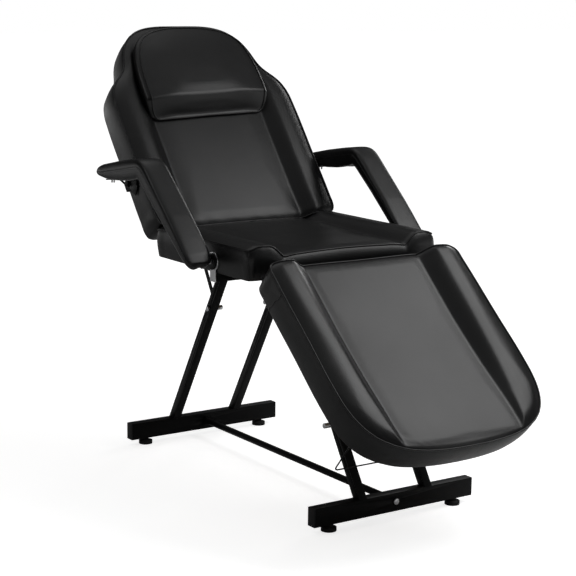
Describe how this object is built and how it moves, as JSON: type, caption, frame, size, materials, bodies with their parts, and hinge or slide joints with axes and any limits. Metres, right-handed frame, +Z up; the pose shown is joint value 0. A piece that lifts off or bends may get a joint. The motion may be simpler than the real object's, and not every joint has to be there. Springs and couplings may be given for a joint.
{
  "type": "tattoo chair",
  "caption": "Three section tattoo bed on a welded tube stand with reclining back, lifting leg rest, bent armrests that follow the back, head pillow and levelling feet.",
  "frame": {"origin": "middle of the bounding box, on the floor", "axes": "+X towards the foot end, +Y to the sitter's left, +Z up"},
  "size_m": [1.4894, 0.804, 1.2496],
  "materials": {
    "cushion_vinyl": "satin",
    "frame_paint": "satin",
    "black_plastic": "matte",
    "zinc_steel": "satin",
    "bail_steel": "satin",
    "board_wood": "matte"
  },
  "bodies": {
    "stand": {"front_floor_bar": "frame_paint", "rear_floor_bar": "frame_paint", "floor_bar_caps": "black_plastic", "foot_inserts": "zinc_steel", "stretcher_tube": "frame_paint", "stretcher_bolts": "zinc_steel", "front_leg_left": "frame_paint", "front_leg_right": "frame_paint", "rear_leg_left": "frame_paint", "rear_leg_right": "frame_paint", "seat_rails": "frame_paint", "seat_cross_tubes": "frame_paint", "arm_stub_tubes": "frame_paint", "rail_end_caps": "black_plastic", "back_hinge_plates": "frame_paint", "leg_hinge_plates": "frame_paint", "seat_board": "board_wood", "seat_board_screws": "zinc_steel", "seat_cushion": "cushion_vinyl", "back_stay_pins": "zinc_steel", "leg_stay_pegs": "zinc_steel", "arm_pivot_plates": "zinc_steel"},
    "back": {"back_rails": "frame_paint", "back_cross_tubes": "frame_paint", "back_hinge_lugs": "frame_paint", "back_frame_bolts": "zinc_steel", "back_board": "board_wood", "back_board_screws": "zinc_steel", "back_cushion": "cushion_vinyl", "back_stay_brackets": "frame_paint", "arm_peg_brackets": "frame_paint"},
    "pillow": {"head_pillow": "cushion_vinyl"},
    "leg_rest": {"leg_rails": "frame_paint", "leg_cross_tubes": "frame_paint", "leg_hinge_lugs": "frame_paint", "leg_frame_bolts": "zinc_steel", "leg_board": "board_wood", "leg_board_screws": "zinc_steel", "leg_cushion": "cushion_vinyl", "leg_stay_brackets": "frame_paint", "bail_clips": "black_plastic"},
    "back_stay_low": {"back_stay_lowers": "frame_paint"},
    "back_stay_high": {"back_stay_uppers": "frame_paint"},
    "leg_stay_low": {"leg_stay_lowers": "frame_paint"},
    "leg_stay_high": {"leg_stay_uppers": "frame_paint"},
    "release_bail": {"release_bail": "bail_steel"},
    "arm_left": {"arm_pad_left": "cushion_vinyl", "arm_bar_left": "frame_paint", "arm_slide_rail_left": "frame_paint", "arm_fasteners_left": "zinc_steel"},
    "arm_right": {"arm_pad_right": "cushion_vinyl", "arm_bar_right": "frame_paint", "arm_slide_rail_right": "frame_paint", "arm_fasteners_right": "zinc_steel"},
    "foot_front_left": {"levelling_foot_front_left": "black_plastic"},
    "foot_front_right": {"levelling_foot_front_right": "black_plastic"},
    "foot_rear_left": {"levelling_foot_rear_left": "black_plastic"},
    "foot_rear_right": {"levelling_foot_rear_right": "black_plastic"}
  },
  "joints": [
    {"name": "back_recline", "type": "hinge", "parent": "stand", "child": "back", "pos_m": [-0.29541, 0, 0.642], "axis": [0, -1, 0], "range_deg": [0, 52.3]},
    {"name": "leg_rest_lift", "type": "hinge", "parent": "stand", "child": "leg_rest", "pos_m": [0.22279, 0, 0.604], "axis": [0, -1, 0], "range_deg": [0, 41.5]},
    {"name": "arm_swing_left", "type": "hinge", "parent": "stand", "child": "arm_left", "pos_m": [0.03659, 0, 0.65], "axis": [0, -1, 0], "range_deg": [0, 19.75]},
    {"name": "arm_swing_right", "type": "hinge", "parent": "stand", "child": "arm_right", "pos_m": [0.03659, 0, 0.65], "axis": [0, -1, 0], "range_deg": [0, 19.75]},
    {"name": "back_stay_low_swing", "type": "hinge", "parent": "stand", "child": "back_stay_low", "pos_m": [-0.29464, 0, 0.446], "axis": [0, -1, 0], "range_deg": [0, 37.13]},
    {"name": "back_stay_high_swing", "type": "hinge", "parent": "back", "child": "back_stay_high", "pos_m": [-0.54393, 0, 0.8805], "axis": [0, -1, 0], "range_deg": [-15.19, 0]},
    {"name": "leg_stay_low_swing", "type": "hinge", "parent": "stand", "child": "leg_stay_low", "pos_m": [0.33084, 0, 0.243], "axis": [0, -1, 0], "range_deg": [-4.05, 0]},
    {"name": "leg_stay_high_swing", "type": "hinge", "parent": "leg_rest", "child": "leg_stay_high", "pos_m": [0.38318, 0, 0.44605], "axis": [0, -1, 0], "range_deg": [-45.55, 0]},
    {"name": "bail_swing", "type": "hinge", "parent": "leg_rest", "child": "release_bail", "pos_m": [0.55437, 0, 0.32263], "axis": [0, -1, 0], "range_deg": [0, 75]},
    {"name": "pillow_lift", "type": "slide", "parent": "back", "child": "pillow", "axis": [0.7912, 0, 0.6115], "range_m": [0, 0.12]},
    {"name": "foot_turn_front_left", "type": "hinge", "parent": "stand", "child": "foot_front_left", "pos_m": [0.43809, 0.205, 0], "axis": [0, 0, 1], "continuous": true},
    {"name": "foot_turn_front_right", "type": "hinge", "parent": "stand", "child": "foot_front_right", "pos_m": [0.43809, -0.205, 0], "axis": [0, 0, 1], "continuous": true},
    {"name": "foot_turn_rear_left", "type": "hinge", "parent": "stand", "child": "foot_rear_left", "pos_m": [-0.51991, 0.205, 0], "axis": [0, 0, 1], "continuous": true},
    {"name": "foot_turn_rear_right", "type": "hinge", "parent": "stand", "child": "foot_rear_right", "pos_m": [-0.51991, -0.205, 0], "axis": [0, 0, 1], "continuous": true}
  ],
  "couplings": [
    {"joint": "arm_swing_left", "follows": "back_recline", "ratio": 0.37747},
    {"joint": "arm_swing_right", "follows": "back_recline", "ratio": 0.37747},
    {"joint": "back_stay_low_swing", "follows": "back_recline", "ratio": 0.70967},
    {"joint": "back_stay_high_swing", "follows": "back_recline", "ratio": -0.29033},
    {"joint": "leg_stay_low_swing", "follows": "leg_rest_lift", "ratio": -0.097357},
    {"joint": "leg_stay_high_swing", "follows": "leg_rest_lift", "ratio": -1.0974}
  ]
}
